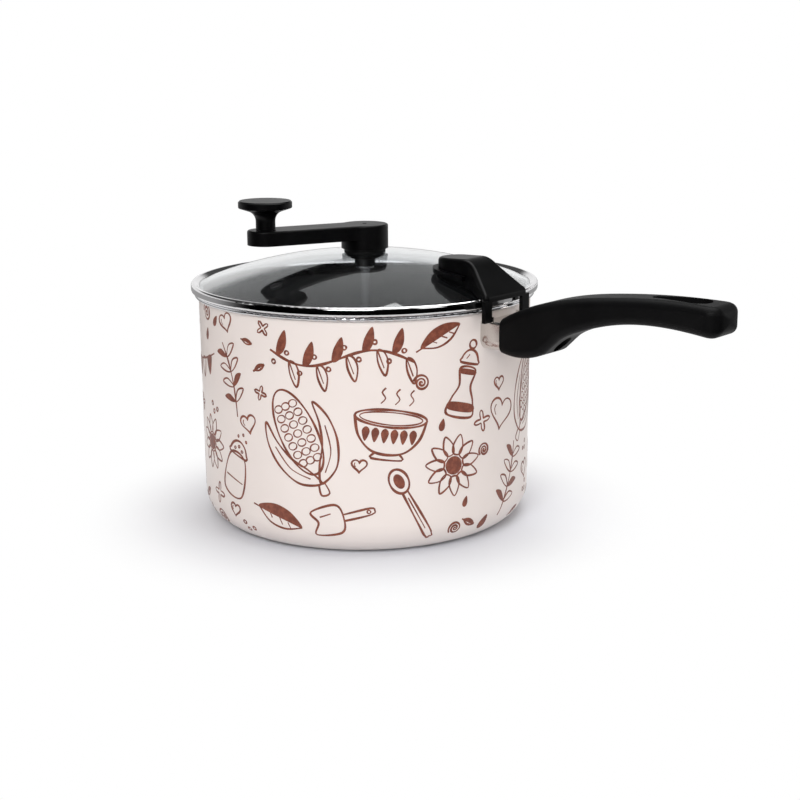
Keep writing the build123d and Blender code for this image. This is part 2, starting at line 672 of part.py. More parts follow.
def make_clamp_plate():
    low = -GLASS_THICKNESS - CLAMP_THICKNESS
    plate = dome_layer(grip_strip(CLAMP_WIDER, GASKET_END_X), low, -GLASS_THICKNESS)
    for x in GRIP_SCREW_X:
        boss = Pos(x, 0, 0) * disc(CLAMP_BOSS_RADIUS, clamp_boss_bottom(x), GLASS_APEX)
        plate += boss & dome_solid(-GLASS_THICKNESS)
    for x in GRIP_SCREW_X:
        plate -= Pos(x, 0, 0) * disc(GRIP_SCREW_RADIUS + GRIP_SCREW_HOLE_CLEARANCE, 0, TALL)
    return plate


def make_grip_screws():
    screws = []
    for x in GRIP_SCREW_X:
        seat = clamp_boss_bottom(x)
        tip = dome_height(x) + GASKET_THICKNESS + GRIP_SCREW_DEPTH
        screw = disc(GRIP_SCREW_RADIUS, seat - 0.5, tip)
        head = disc(GRIP_SCREW_HEAD_RADIUS, seat - GRIP_SCREW_HEAD_HEIGHT, seat)
        head = fillet(head.edges().sort_by(Axis.Z)[0], GRIP_SCREW_HEAD_HEIGHT * 0.4)
        arm = GRIP_SCREW_HEAD_RADIUS * 0.6
        half = 0.5
        low = seat - GRIP_SCREW_HEAD_HEIGHT - 1
        high = seat - GRIP_SCREW_HEAD_HEIGHT / 2
        cross = block((-arm, -half, low), (arm, half, high)) + block((-half, -arm, low), (half, arm, high))
        screws.append(Pos(x, 0, 0) * (screw + head - cross))
    return screws


# ---------------------------------------------------------------- crank bush
def make_bush():
    glass_bottom = GLASS_APEX - GLASS_THICKNESS
    bush = disc(BUSH_FLANGE_RADIUS, BUSH_FLANGE_BOTTOM, BUSH_TOP)
    bush += disc(BUSH_RADIUS, glass_bottom + BUSH_BARREL_SHORT, BUSH_FLANGE_BOTTOM)
    bush += disc(BUSH_THREAD_RADIUS, BUSH_BOTTOM, BUSH_FLANGE_BOTTOM)
    return bush - disc(SHAFT_RADIUS + RUNNING_CLEARANCE, 0, TALL)


def make_top_washer():
    washer = ring(BUSH_RADIUS + FIXED_CLEARANCE, BUSH_FLANGE_RADIUS, GLASS_APEX - 2, BUSH_FLANGE_BOTTOM)
    return washer - dome_solid()


def make_bottom_washer():
    washer = ring(BUSH_THREAD_RADIUS + FIXED_CLEARANCE, NUT_FLANGE_RADIUS, NUT_TOP, GLASS_APEX)
    barrel_end = GLASS_APEX - GLASS_THICKNESS + BUSH_BARREL_SHORT
    washer &= dome_solid(-GLASS_THICKNESS)
    return washer - disc(BUSH_RADIUS, barrel_end, GLASS_APEX)


def make_nut():
    """Flanged cone with a round neck, screwed up the bush from below."""
    cone_bottom = NUT_TOP - NUT_CONE_HEIGHT
    edge = NUT_TOP - NUT_EDGE
    bore = BUSH_THREAD_RADIUS + FIXED_CLEARANCE
    exit_bore = SHAFT_RADIUS + NUT_EXIT_CLEARANCE
    return revolve(make_face(profile([
        (bore, NUT_TOP),
        (NUT_FLANGE_RADIUS, NUT_TOP),
        (NUT_FLANGE_RADIUS, edge),
        (NUT_NECK_RADIUS, cone_bottom),
        (NUT_NECK_RADIUS, NUT_BOTTOM),
        (exit_bore, NUT_BOTTOM),
        (exit_bore, BUSH_BOTTOM - FIXED_CLEARANCE),
        (bore, BUSH_BOTTOM - FIXED_CLEARANCE),
    ])), Axis.Z)


# ---------------------------------------------------------------- crank
# These pieces are drawn with the arm along +X and then turned to the crank's angle.
def set_screw(inner_x, length, z):
    """Headless screw along -X, its tip on the shaft's flat, with a hexagon socket outside."""
    outer_x = inner_x - length
    screw = along_x(SET_SCREW_RADIUS, outer_x, inner_x, 0, z)
    socket = Plane((outer_x, 0, z), x_dir=(0, 1, 0), z_dir=(1, 0, 0)) * RegularPolygon(SET_SCREW_SOCKET, 6)
    return screw - extrude(socket, length / 3)


def make_crank_arm():
    root = Circle(HUB_RADIUS)
    end = Pos(CRANK_LENGTH, 0) * Circle(ARM_END_RADIUS)
    beam = Pos(CRANK_LENGTH / 2, 0) * Rectangle(CRANK_LENGTH, 2 * ARM_END_RADIUS)
    plan = root + end + beam
    necks = plan.vertices().group_by(SortBy.DISTANCE)[0]
    plan = fillet(necks, ARM_NECK_FILLET)
    arm = up_z(plan, ARM_BOTTOM, ARM_THICKNESS) + disc(HUB_RADIUS, HUB_BOTTOM, HUB_TOP)
    outline = [edge for edge in arm.edges() if abs(edge.center().Z - HUB_TOP) < 0.01]
    arm = fillet(outline, ARM_EDGE_ROUND)

    head_room = KNOB_HEAD_RADIUS + KNOB_HEAD_CLEARANCE
    pocket_start = HUB_RADIUS + ARM_POCKET_WALL
    pocket_end = CRANK_LENGTH - head_room - ARM_POCKET_WALL
    pocket_length = (pocket_end - pocket_start - ARM_POCKET_WALL) / 2
    pocket = RectangleRounded(pocket_length, 2 * (ARM_END_RADIUS - ARM_POCKET_WALL), 2)
    for start in (pocket_start, pocket_end - pocket_length):
        arm -= up_z(Pos(start + pocket_length / 2, 0) * pocket, ARM_BOTTOM - 1, ARM_POCKET_DEPTH + 1)

    arm -= disc(SHAFT_RADIUS + FIXED_CLEARANCE, 0, SHAFT_TOP + FIXED_CLEARANCE)
    arm -= along_x(SET_SCREW_RADIUS + FIXED_CLEARANCE, -HUB_RADIUS - 1, 0, 0, SET_SCREW_HEIGHT)
    arm -= disc(HUB_DIMPLE_RADIUS, HUB_TOP - HUB_DIMPLE_DEPTH, TALL)
    arm -= Pos(CRANK_LENGTH, 0, 0) * disc(KNOB_SHOULDER_RADIUS + RUNNING_CLEARANCE, 0, TALL)
    arm -= Pos(CRANK_LENGTH, 0, 0) * disc(head_room, 0, ARM_BOTTOM + KNOB_HEAD_POCKET)
    return arm


def make_shaft():
    shaft = disc(SHAFT_RADIUS, SHAFT_BOTTOM, SHAFT_TOP)
    flat_x = SHAFT_RADIUS - SHAFT_FLAT
    for middle in (SET_SCREW_HEIGHT, STIRRER_SCREW_HEIGHT):
        low = middle - SET_SCREW_RADIUS - 0.5
        high = middle + SET_SCREW_RADIUS + 0.5
        shaft -= block((-SHAFT_RADIUS - 1, -SHAFT_RADIUS, low), (-flat_x, SHAFT_RADIUS, high))
    groove_radius = SHAFT_RADIUS - CLIP_GROOVE_DEPTH
    clip_bottom = CLIP_TOP - CLIP_THICKNESS
    shaft -= ring(groove_radius, SHAFT_RADIUS + 1, clip_bottom - FIXED_CLEARANCE, CLIP_TOP + FIXED_CLEARANCE)
    return shaft


def make_clip():
    """Open retaining ring that keeps the shaft from being pulled up through its bush."""
    inner = SHAFT_RADIUS - CLIP_GROOVE_DEPTH + FIXED_CLEARANCE
    clip = ring(inner, CLIP_RADIUS, CLIP_TOP - CLIP_THICKNESS, CLIP_TOP)
    return clip - block((0, -CLIP_MOUTH / 2, 0), (TALL, CLIP_MOUTH / 2, TALL))


# ---------------------------------------------------------------- stirrer
def wire_points():
    """The wire's corners: up at one tip, in along the floor, through the hub and out again."""
    z = STIRRER_BOTTOM + WIRE_HEIGHT
    half = [(WIRE_STRAIGHT, 0, z), (WIRE_REACH, WIRE_SWEEP, z), (WIRE_REACH, WIRE_SWEEP, z + WIRE_UPTURN)]
    return [(-x, -y, height) for x, y, height in reversed(half)] + half


def make_wire():
    radii = [WIRE_BEND_RADIUS, WIRE_SWEEP_RADIUS, WIRE_SWEEP_RADIUS, WIRE_BEND_RADIUS]
    path = FilletPolyline(*wire_points(), radius=radii)
    section = Plane(path @ 0, z_dir=path % 0) * Circle(WIRE_RADIUS)
    return sweep(section, path=path)


def make_stirrer_hub():
    hub = disc(STIRRER_HUB_RADIUS, STIRRER_BOTTOM, STIRRER_TOP)
    hub = chamfer(hub.edges(), STIRRER_HUB_CHAMFER)
    hub -= disc(SHAFT_RADIUS + FIXED_CLEARANCE, SHAFT_BOTTOM, TALL)
    reach = STIRRER_HUB_RADIUS + 1
    wire_z = STIRRER_BOTTOM + WIRE_HEIGHT
    hub -= along_x(WIRE_RADIUS + FIXED_CLEARANCE, -reach, reach, 0, wire_z)
    return hub - along_x(SET_SCREW_RADIUS + FIXED_CLEARANCE, -reach, 0, 0, STIRRER_SCREW_HEIGHT)


# ---------------------------------------------------------------- knob
def make_knob():
    """Spool: a flat disc on a neck that flares out to meet it."""
    flare_top = KNOB_BOTTOM + KNOB_NECK_HEIGHT + KNOB_FLARE_HEIGHT
    neck_top = KNOB_BOTTOM + KNOB_NECK_HEIGHT
    edge_top = KNOB_TOP - KNOB_DISC_CHAMFER
    edge_bottom = edge_top - KNOB_DISC_EDGE
    width = KNOB_FLARE_RADIUS - KNOB_NECK_RADIUS
    arc_radius = (width**2 + KNOB_FLARE_HEIGHT**2) / (2 * width)
    half_turn = math.asin(KNOB_FLARE_HEIGHT / arc_radius) / 2
    flare_middle = (
        KNOB_NECK_RADIUS + arc_radius * (1 - math.cos(half_turn)),
        0,
        neck_top + arc_radius * math.sin(half_turn),
    )
    flare = ThreePointArc((KNOB_NECK_RADIUS, 0, neck_top), flare_middle, (KNOB_FLARE_RADIUS, 0, flare_top))
    rest = Polyline(
        (KNOB_FLARE_RADIUS, 0, flare_top),
        (KNOB_DISC_RADIUS - 0.4, 0, edge_bottom - 0.4),
        (KNOB_DISC_RADIUS, 0, edge_bottom),
        (KNOB_DISC_RADIUS, 0, edge_top),
        (KNOB_DISC_RADIUS - KNOB_DISC_CHAMFER, 0, KNOB_TOP),
        (0, 0, KNOB_TOP),
        (0, 0, KNOB_BOTTOM),
        (KNOB_NECK_RADIUS, 0, KNOB_BOTTOM),
        (KNOB_NECK_RADIUS, 0, neck_top),
    )
    knob = revolve(make_face(Curve() + [flare, rest]), Axis.Z)
    knob -= disc(KNOB_THREAD_RADIUS + FIXED_CLEARANCE, 0, KNOB_BOTTOM + KNOB_THREAD_LENGTH + 0.5)
    return Pos(CRANK_LENGTH, 0, 0) * knob


def knob_washer_span():
    top = ARM_BOTTOM + KNOB_HEAD_POCKET - KNOB_PLAY
    return top - KNOB_WASHER_THICKNESS, top


def make_knob_screw():
    """Shoulder screw: its head hides in the arm, its shoulder is the knob's journal."""
    head_top = knob_washer_span()[0]
    head = disc(KNOB_HEAD_RADIUS, head_top - KNOB_HEAD_HEIGHT, head_top)
    screw = head + disc(KNOB_SHOULDER_RADIUS, head_top, KNOB_BOTTOM)
    screw += disc(KNOB_THREAD_RADIUS, head_top, KNOB_BOTTOM + KNOB_THREAD_LENGTH)
    slot = block(
        (-KNOB_HEAD_RADIUS - 1, -0.5, head_top - KNOB_HEAD_HEIGHT - 1),
        (KNOB_HEAD_RADIUS + 1, 0.5, head_top - KNOB_HEAD_HEIGHT / 2),
    )
    return Pos(CRANK_LENGTH, 0, 0) * (screw - slot)


def make_knob_washer():
    low, high = knob_washer_span()
    washer = ring(KNOB_SHOULDER_RADIUS + FIXED_CLEARANCE, KNOB_HEAD_RADIUS, low, high)
    return Pos(CRANK_LENGTH, 0, 0) * washer


# ---------------------------------------------------------------- assembly
def export(name, solids):
    """One STEP file per sub-part: a single solid, or a group of alike solids."""
    whole = solids[0] if len(solids) == 1 else Compound(children=solids)
    export_step(whole, f"parts/{name}.step")


def build():
    pot_plug = pot_solid(outer_only=True)
    shell = make_pot_shell()
    bracket = make_bracket(pot_plug)
    glass = make_glass()
    turned_set = SHAFT_FLAT - SHAFT_RADIUS
    fixed = {
        "pot_shell": [shell],
        "bracket_rivets": make_rivets(shell, bracket),
        "handle_bracket": [bracket],
        "handle_ferrule": [make_ferrule(pot_plug)],
        "handle_grip": [make_handle()],
        "handle_washer": [make_handle_washer()],
        "handle_screw": [make_handle_screw()],
        "lid_glass": [glass],
        "lid_rim": [make_rim(glass)],
        "lid_grip": [make_grip()],
        "lid_grip_gasket": [make_gasket()],
        "lid_clamp_plate": [make_clamp_plate()],
        "lid_grip_screws": make_grip_screws(),
        "crank_bush": [make_bush()],
        "bush_washer_top": [make_top_washer()],
        "bush_washer_bottom": [make_bottom_washer()],
        "bush_nut": [make_nut()],
    }
    turning = {
        "crank_arm": [make_crank_arm()],
        "crank_shaft": [make_shaft()],
        "crank_set_screw": [set_screw(turned_set, SET_SCREW_LENGTH, SET_SCREW_HEIGHT)],
        "shaft_clip": [make_clip()],
        "stirrer_hub": [make_stirrer_hub()],
        "stirrer_wire": [make_wire()],
        "stirrer_set_screw": [set_screw(turned_set, STIRRER_SCREW_LENGTH, STIRRER_SCREW_HEIGHT)],
        "crank_knob": [make_knob()],
        "knob_screw": [make_knob_screw()],
        "knob_washer": [make_knob_washer()],
    }
    for name, solids in fixed.items():
        export(name, solids)
    for name, solids in turning.items():
        export(name, [Rot(0, 0, CRANK_ANGLE) * solid for solid in solids])


if __name__ == "__main__":
    build()
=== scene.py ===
import math
import random

import bpy
from mathutils import Matrix, Vector


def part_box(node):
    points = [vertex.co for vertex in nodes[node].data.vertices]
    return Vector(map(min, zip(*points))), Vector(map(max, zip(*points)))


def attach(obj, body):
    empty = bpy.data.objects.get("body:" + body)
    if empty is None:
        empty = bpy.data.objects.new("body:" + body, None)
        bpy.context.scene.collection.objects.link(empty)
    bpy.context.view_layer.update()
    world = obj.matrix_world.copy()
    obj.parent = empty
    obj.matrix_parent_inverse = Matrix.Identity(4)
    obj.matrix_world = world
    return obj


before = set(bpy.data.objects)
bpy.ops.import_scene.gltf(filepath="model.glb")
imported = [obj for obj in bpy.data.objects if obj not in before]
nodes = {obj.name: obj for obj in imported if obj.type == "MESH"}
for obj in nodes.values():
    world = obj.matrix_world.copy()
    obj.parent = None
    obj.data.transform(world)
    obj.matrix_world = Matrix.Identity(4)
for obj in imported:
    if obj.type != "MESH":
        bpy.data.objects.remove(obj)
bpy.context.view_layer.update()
bpy.ops.object.select_all(action="DESELECT")

MM = 0.001

# ---------------------------------------------------------------- sizes that the looks follow
POT_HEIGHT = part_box("pot_shell")[1].z
BEAD_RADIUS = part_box("pot_shell")[1].x
BEAD_OVERHANG = 2.6 * MM
BEAD_BOTTOM = POT_HEIGHT - 3.0 * MM
RIM_RADIUS = BEAD_RADIUS - BEAD_OVERHANG    # outside of the wall at the rim
DRAFT = 1.3 * MM                            # the wall is this much narrower at the base
WALL = 2.0 * MM
CORNER = 21.0 * MM                          # outside radius between wall and base
CORNER_CENTRE = RIM_RADIUS - DRAFT - CORNER
BASE_FLAT = 86 * MM                         # bare metal under the base reaches out to here
BASE_RING = 0.9 * MM                        # from one turned ring to the next under the base

WHITE = (1.0, 1.0, 1.0, 1.0)

# ---------------------------------------------------------------- camera
CAMERA_PLACE = Vector((692.4, -782.7, 327.0)) * MM
CAMERA_AIM = Vector((-0.6059, 0.7640, -0.2216))
CAMERA_LENS = 70.8                          # millimetres on a 36 mm sensor
CAMERA_SHIFT = (-0.06125, -0.025)


def add_camera():
    data = bpy.data.cameras.new("camera")
    data.lens = CAMERA_LENS
    data.shift_x, data.shift_y = CAMERA_SHIFT
    camera = bpy.data.objects.new("camera", data)
    camera.location = CAMERA_PLACE
    camera.rotation_euler = CAMERA_AIM.to_track_quat("-Z", "Y").to_euler()
    bpy.context.scene.collection.objects.link(camera)
    bpy.context.scene.camera = camera


# ---------------------------------------------------------------- shader maths
class Wire:
    """A shader socket in a formula: each operator adds the Math node that it stands for."""

    def __init__(self, tree, socket):
        self.tree = tree
        self.socket = socket

    def maths(self, operation, first, second=0.0):
        node = self.tree.nodes.new("ShaderNodeMath")
        node.operation = operation
        for slot, value in zip(node.inputs, (first, second)):
            connect(self.tree, value, slot)
        return Wire(self.tree, node.outputs[0])

    def __add__(self, other):
        return self.maths("ADD", self, other)

    def __radd__(self, other):
        return self.maths("ADD", other, self)

    def __sub__(self, other):
        return self.maths("SUBTRACT", self, other)

    def __rsub__(self, other):
        return self.maths("SUBTRACT", other, self)

    def __mul__(self, other):
        return self.maths("MULTIPLY", self, other)

    def __rmul__(self, other):
        return self.maths("MULTIPLY", other, self)

    def __truediv__(self, other):
        return self.maths("DIVIDE", self, other)

    def __pow__(self, other):
        return self.maths("POWER", self, other)

    def __lt__(self, other):
        return self.maths("LESS_THAN", self, other)

    def at_least(self, other):
        return self.maths("MAXIMUM", self, other)

    def sine(self):
        return self.maths("SINE", self)


def connect(tree, value, slot):
    """Links a wire to a socket, or sets a number or colour on it."""
    if isinstance(value, Wire):
        tree.links.new(value.socket, slot)
    elif value is not None:
        slot.default_value = value


def smooth_step(tree, value, low, high, start=0.0, end=1.0):
    """A smooth step from start to end as value goes from low to high."""
    node = tree.nodes.new("ShaderNodeMapRange")
    node.interpolation_type = "SMOOTHSTEP"
    names = ("Value", "From Min", "From Max", "To Min", "To Max")
    for name, number in zip(names, (value, low, high, start, end)):
        connect(tree, number, node.inputs[name])
    return Wire(tree, node.outputs[0])


def colour(red, green, blue):
    """An sRGB colour from 0 to 255, as the linear one that a shader takes."""
    def linear(level):
        level /= 255
        return level / 12.92 if level <= 0.04045 else ((level + 0.055) / 1.055) ** 2.4
    return (linear(red), linear(green), linear(blue), 1.0)


class Finish:
    """One material of the object, round a Principled shader."""

    def __init__(self, name):
        self.material = bpy.data.materials.new(name)
        self.material.use_nodes = True
        self.tree = self.material.node_tree
        self.shader = next(n for n in self.tree.nodes if n.type == "BSDF_PRINCIPLED")
        self.place = self.node("ShaderNodeTexCoord", output="Object")

    def node(self, kind, settings=None, values=None, output=0):
        """Adds a node: its settings first, then what its sockets hold or take."""
        node = self.tree.nodes.new(kind)
        for key, value in (settings or {}).items():
            if key == "stops":
                ramp = node.color_ramp.elements
                while len(ramp) < len(value):
                    ramp.new(0.5)
                for stop, (position, tint) in zip(ramp, value):
                    stop.position = position
                    stop.color = tint
            else:
                setattr(node, key, value)
        for key, value in (values or {}).items():
            connect(self.tree, value, node.inputs[key])
        return Wire(self.tree, node.outputs[output])

    def set(self, **values):
        """Sets or links sockets of the Principled shader, their names with _ for a space."""
        for key, value in values.items():
            connect(self.tree, value, self.shader.inputs[key.replace("_", " ")])

    def noise(self, scale, detail=2.0, roughness=0.5, place=None):
        values = {"Vector": place or self.place, "Scale": scale, "Detail": detail, "Roughness": roughness}
        return self.node("ShaderNodeTexNoise", None, values)

    def stretched(self, scale):
        """The place, scaled by three numbers, for a grain that runs one way."""
        return self.node("ShaderNodeMapping", None, {"Vector": self.place, "Scale": scale}, "Vector")

    def axes(self):
        split = self.node("ShaderNodeSeparateXYZ", None, {"Vector": self.place})
        outputs = split.socket.node.outputs
        return [Wire(self.tree, outputs[axis]) for axis in "XYZ"]

    def between(self, value, low, high, start=0.0, end=1.0):
        return smooth_step(self.tree, value, low, high, start, end)

    def mix(self, factor, first, second):
        """A blend of two colours."""
        node = self.tree.nodes.new("ShaderNodeMix")
        node.data_type = "RGBA"
        slots = [slot for slot in node.inputs if slot.type == "RGBA"]
        connect(self.tree, factor, node.inputs["Factor"])
        connect(self.tree, first, slots[0])
        connect(self.tree, second, slots[1])
        out = next(slot for slot in node.outputs if slot.type == "RGBA")
        return Wire(self.tree, out)

    def bump(self, height, depth, strength=1.0):
        """Relief of a height field whose 1 is depth metres high."""
        values = {"Height": height, "Distance": depth, "Strength": strength}
        self.set(Normal=self.node("ShaderNodeBump", None, values, "Normal"))


# ---------------------------------------------------------------- finishes
def pot_finish():
    """Cream enamel outside, a dark coating inside, bare turned metal on the rim and under the base."""
    finish = Finish("cream_enamel")
    x, y, z = finish.axes()
    radius = (x * x + y * y) ** 0.5
    widen = z * (DRAFT / POT_HEIGHT)
    past_corner = (radius - CORNER_CENTRE - widen).at_least(0.0)
    below_corner = (CORNER - z).at_least(0.0)
    depth = CORNER - (past_corner * past_corner + below_corner * below_corner) ** 0.5
    inside = finish.between(depth, 0.4 * WALL, 0.6 * WALL)
    bead = finish.between(z, BEAD_BOTTOM - 0.5 * MM, BEAD_BOTTOM - 0.2 * MM)
    base = (z < 0.1 * MM) * (radius < BASE_FLAT)
    bare = bead.at_least(base)

    cloud = finish.noise(14.0, 3.0)
    fine = finish.noise(700.0, 2.0)
    cream = finish.mix(cloud, colour(227, 218, 213), colour(234, 227, 223))
    grain = finish.noise(1800.0, 2.0)
    coating = finish.mix(finish.between(grain, 0.62, 0.72), colour(27, 26, 26), colour(58, 57, 57))
    metal = finish.mix(finish.noise(60.0), colour(196, 196, 198), colour(214, 214, 216))
    painted = finish.mix(inside, cream, coating)
    rings = (radius * (2 * math.pi / BASE_RING)).sine()

    relief = (fine * 0.25 + grain * inside * 0.5) * (1 - bare) + rings * base * 0.5
    finish.bump(relief, 0.02 * MM, 0.6)
    painted_roughness = 0.30 + fine * 0.08 + inside * 0.12
    finish.set(
        Base_Color=finish.mix(bare, painted, metal),
        Roughness=painted_roughness * (1 - bare) + bare * 0.16,
        Metallic=bare,
    )
    return finish.material


def ink_finish():
    """Brown print, a little uneven where the screen laid it thin."""
    finish = Finish("brown_ink")
    mottle = finish.noise(260.0, 4.0, 0.7)
    dark = colour(108, 52, 36)
    finish.set(Base_Color=finish.mix(finish.between(mottle, 0.35, 0.7), dark, colour(140, 76, 54)))
    finish.set(Roughness=0.36 + mottle * 0.14)
    finish.bump(mottle, 0.02 * MM, 0.5)
    return finish.material


def polished_finish():
    """Polished stainless band, with the faint lines of its buffing round the lid."""
    finish = Finish("polished_band")
    x, y, z = finish.axes()
    radius = (x * x + y * y) ** 0.5
    lines = finish.noise(1.0, 3.0, 0.7, finish.node(
        "ShaderNodeCombineXYZ", None, {"X": radius * 4200.0, "Y": z * 4200.0, "Z": 0.0}))
    smear = finish.noise(14.0, 2.0)
    finish.set(
        Base_Color=finish.mix(smear, colour(206, 205, 206), colour(222, 221, 222)),
        Metallic=1.0,
        Roughness=0.06 + lines * 0.04 + smear * 0.04,
    )
    finish.bump(lines, 0.001 * MM, 0.3)
    return finish.material


def ferrule_finish():
    """Thin pressed steel, polished, with the slight waves of the pressing."""
    finish = Finish("pressed_ferrule")
    wave = finish.noise(48.0, 1.0, 0.4)
    fine = finish.noise(1.0, 2.0, 0.6, finish.stretched((60.0, 2600.0, 2600.0)))
    finish.set(
        Base_Color=finish.mix(wave, colour(205, 201, 197), colour(224, 221, 218)),
        Metallic=1.0,
        Roughness=0.14 + fine * 0.08,
    )
    finish.bump(wave * 0.9 + fine * 0.01, 0.30 * MM, 0.4)
    return finish.material


def steel_finish(name, tint, roughness):
    """Plain drawn steel of screws, shaft and wire, with fine turning marks."""
    finish = Finish(name)
    marks = finish.noise(1.0, 2.0, 0.6, finish.stretched((500.0, 500.0, 5200.0)))
    blotch = finish.noise(120.0, 3.0)
    lighter = tuple(min(1.0, level * 1.2) for level in tint[:3]) + (1.0,)
    finish.set(
        Base_Color=finish.mix(blotch, tint, lighter),
        Metallic=1.0,
        Roughness=roughness + marks * 0.08,
    )
    finish.bump(marks, 0.002 * MM, 0.3)
    return finish.material


def black_finish(name, level, roughness, grain_scale, grain_depth, gloss=0.14):
    """Black moulding: fine spark texture, and a faint cloudiness where it has been handled."""
    finish = Finish(name)
    cloud = finish.noise(45.0, 4.0, 0.6)
    spark = finish.noise(grain_scale, 3.0, 0.65)
    dark = colour(level, level, level + 1)
    grey = colour(level + 5, level + 5, level + 6)
    finish.set(
        Base_Color=finish.mix(finish.between(cloud, 0.3, 0.8), dark, grey),
        Roughness=roughness + cloud * 0.10 + spark * 0.08,
        Specular_IOR_Level=gloss,
    )
    finish.bump(spark + cloud * 0.2, grain_depth, 0.6)
    return finish.material


def glass_finish():
    """Clear tempered glass, with a trace of wiping marks, that lets light through to what lies below."""
    finish = Finish("clear_glass")
    wipe = finish.noise(24.0, 4.0, 0.6)
    finish.set(
        Base_Color=finish.mix(wipe, colour(240, 243, 245), colour(247, 249, 250)),
        Roughness=finish.between(wipe, 0.45, 0.8, 0.0, 0.05),
        Transmission_Weight=1.0,
        IOR=1.48,
    )
    clear = finish.node("ShaderNodeBsdfTransparent", None, {"Color": (0.93, 0.95, 0.97, 1.0)})
    shadow = finish.node("ShaderNodeLightPath", output="Is Shadow Ray")
    joined = finish.tree.nodes.new("ShaderNodeMixShader")
    output = next(n for n in finish.tree.nodes if n.type == "OUTPUT_MATERIAL")
    connect(finish.tree, shadow, joined.inputs[0])
    finish.tree.links.new(finish.shader.outputs[0], joined.inputs[1])
    connect(finish.tree, clear, joined.inputs[2])
    finish.tree.links.new(joined.outputs[0], output.inputs["Surface"])
    return finish.material


def paint(material, *names):
    for name in names:
        mesh = nodes[name].data
        mesh.materials.clear()
        mesh.materials.append(material)


def dress_nodes():
    paint(pot_finish(), "pot_shell")
    paint(polished_finish(), "lid_rim")
    paint(ferrule_finish(), "handle_ferrule")
    paint(glass_finish(), "lid_glass")
    paint(black_finish("handle_phenolic", 3, 0.42, 1500.0, 0.02 * MM, 0.12), "handle_grip")
    paint(black_finish("crank_phenolic", 2, 0.27, 1900.0, 0.01 * MM),
          "crank_arm", "crank_knob", "lid_grip")
    paint(black_finish("black_nylon", 8, 0.40, 1200.0, 0.01 * MM),
          "crank_bush", "bush_nut", "lid_clamp_plate")
    paint(black_finish("black_silicone", 10, 0.60, 800.0, 0.01 * MM),
          "lid_grip_gasket", "bush_washer_top", "bush_washer_bottom")
    paint(steel_finish("drawn_steel", colour(188, 188, 190), 0.20),
          "crank_shaft", "stirrer_hub", "stirrer_wire", "handle_bracket")
    paint(steel_finish("screw_steel", colour(176, 176, 178), 0.26),
          "crank_set_screw", "stirrer_set_screw", "shaft_clip", "knob_screw", "knob_washer",
          "handle_screw", "handle_washer", "lid_grip_screws")
    paint(steel_finish("rivet_aluminium", colour(206, 206, 208), 0.32), "bracket_rivets")


# ---------------------------------------------------------------- the print on the wall
PRINT_LIFT = 0.10 * MM      # top of the ink above the wall
PEN = 0.58 * MM             # half width of an ordinary line
PEN_STEP = 1.6 * MM         # a stroke gets a point this often
PATCH_STEP = 3.5 * MM       # a solid patch is cut this often, so that it can curve
PATCH_LIFT = 0.3 * PRINT_LIFT   # solid patches stand this much further out than lines
PRINT_TOP = BEAD_BOTTOM - 1.0 * MM
NIB_SWELL = 0.22            # share by which a line's width swells and thins as a hand would draw it
NIB_RATE = 0.35             # how fast it does so, in radians a point
CREASE = 40                 # degrees between faces past which the ink's edge stays sharp


def wall_place(across, up, lift):
    """The place on the pot's outside for a distance round it and one up it, and the ink's height."""
    if up >= CORNER:
        radius = RIM_RADIUS - DRAFT * (1 - up / POT_HEIGHT) + lift
        height = up
    else:
        turn = (CORNER - up) / CORNER
        radius = CORNER_CENTRE + DRAFT * CORNER / POT_HEIGHT + (CORNER + lift) * math.cos(turn)
        height = CORNER - (CORNER + lift) * math.sin(turn)
    angle = across / RIM_RADIUS
    return Vector((radius * math.cos(angle), radius * math.sin(angle), height))


class Sketch:
    """Line art drawn flat, in millimetres, before it is wrapped round the pot."""

    def __init__(self, seed):
        self.strokes = []
        self.patches = []
        self.hand = random.Random(seed)

    def line(self, points, width=1.0, closed=False):
        self.strokes.append(([Vector((x, y)) for x, y in points], width, closed))

    def patch(self, points):
        self.patches.append([Vector((x, y)) for x, y in points])

    def arc(self, centre, radius, start, end, width=1.0, squash=1.0):
        """Part of an ellipse, between two angles in degrees."""
        steps = max(6, int(abs(end - start) / 12))
        angles = [math.radians(start + (end - start) * i / steps) for i in range(steps + 1)]
        points = [(centre[0] + radius * math.cos(a), centre[1] + radius * squash * math.sin(a))
                  for a in angles]
        full = abs(end - start) >= 360
        self.line(points[:-1] if full else points, width, full)


# ---------------------------------------------------------------- motifs, about one unit across
def oval(across, up, centre=(0, 0), step=20, count=18):
    """Points on an ellipse, counted from its right end, with a step in degrees."""
    angles = (math.radians(step * i) for i in range(count))
    return [(centre[0] + across * math.cos(a), centre[1] + up * math.sin(a)) for a in angles]


def heart(sketch):
    points = []
    for i in range(28):
        t = 2 * math.pi * i / 28
        x = math.sin(t) ** 3
        y = (13 * math.cos(t) - 5 * math.cos(2 * t) - 2 * math.cos(3 * t) - math.cos(4 * t)) / 17
        points.append((0.5 * x, 0.5 * y))
    sketch.line(points, 1.1, True)
    sketch.line([(-0.28, 0.18), (-0.33, 0.05), (-0.24, -0.1)], 0.7)


def sparkle(sketch):
    points = []
    for i in range(32):
        a = 2 * math.pi * i / 32
        reach = 0.14 + 0.36 * abs(math.cos(2 * a)) ** 3
        points.append((reach * math.cos(a), reach * math.sin(a)))
    sketch.line(points, 1.0, True)


def spiral(sketch):
    points = [(0.03 * t * math.cos(t), 0.03 * t * math.sin(t)) for t in (0.45 * i for i in range(36))]
    sketch.line(points, 1.2)


def dots(sketch):
    for x, y in ((-0.3, 0.1), (0.05, -0.15), (0.32, 0.2)):
        sketch.arc((x, y), 0.1, 0, 360)


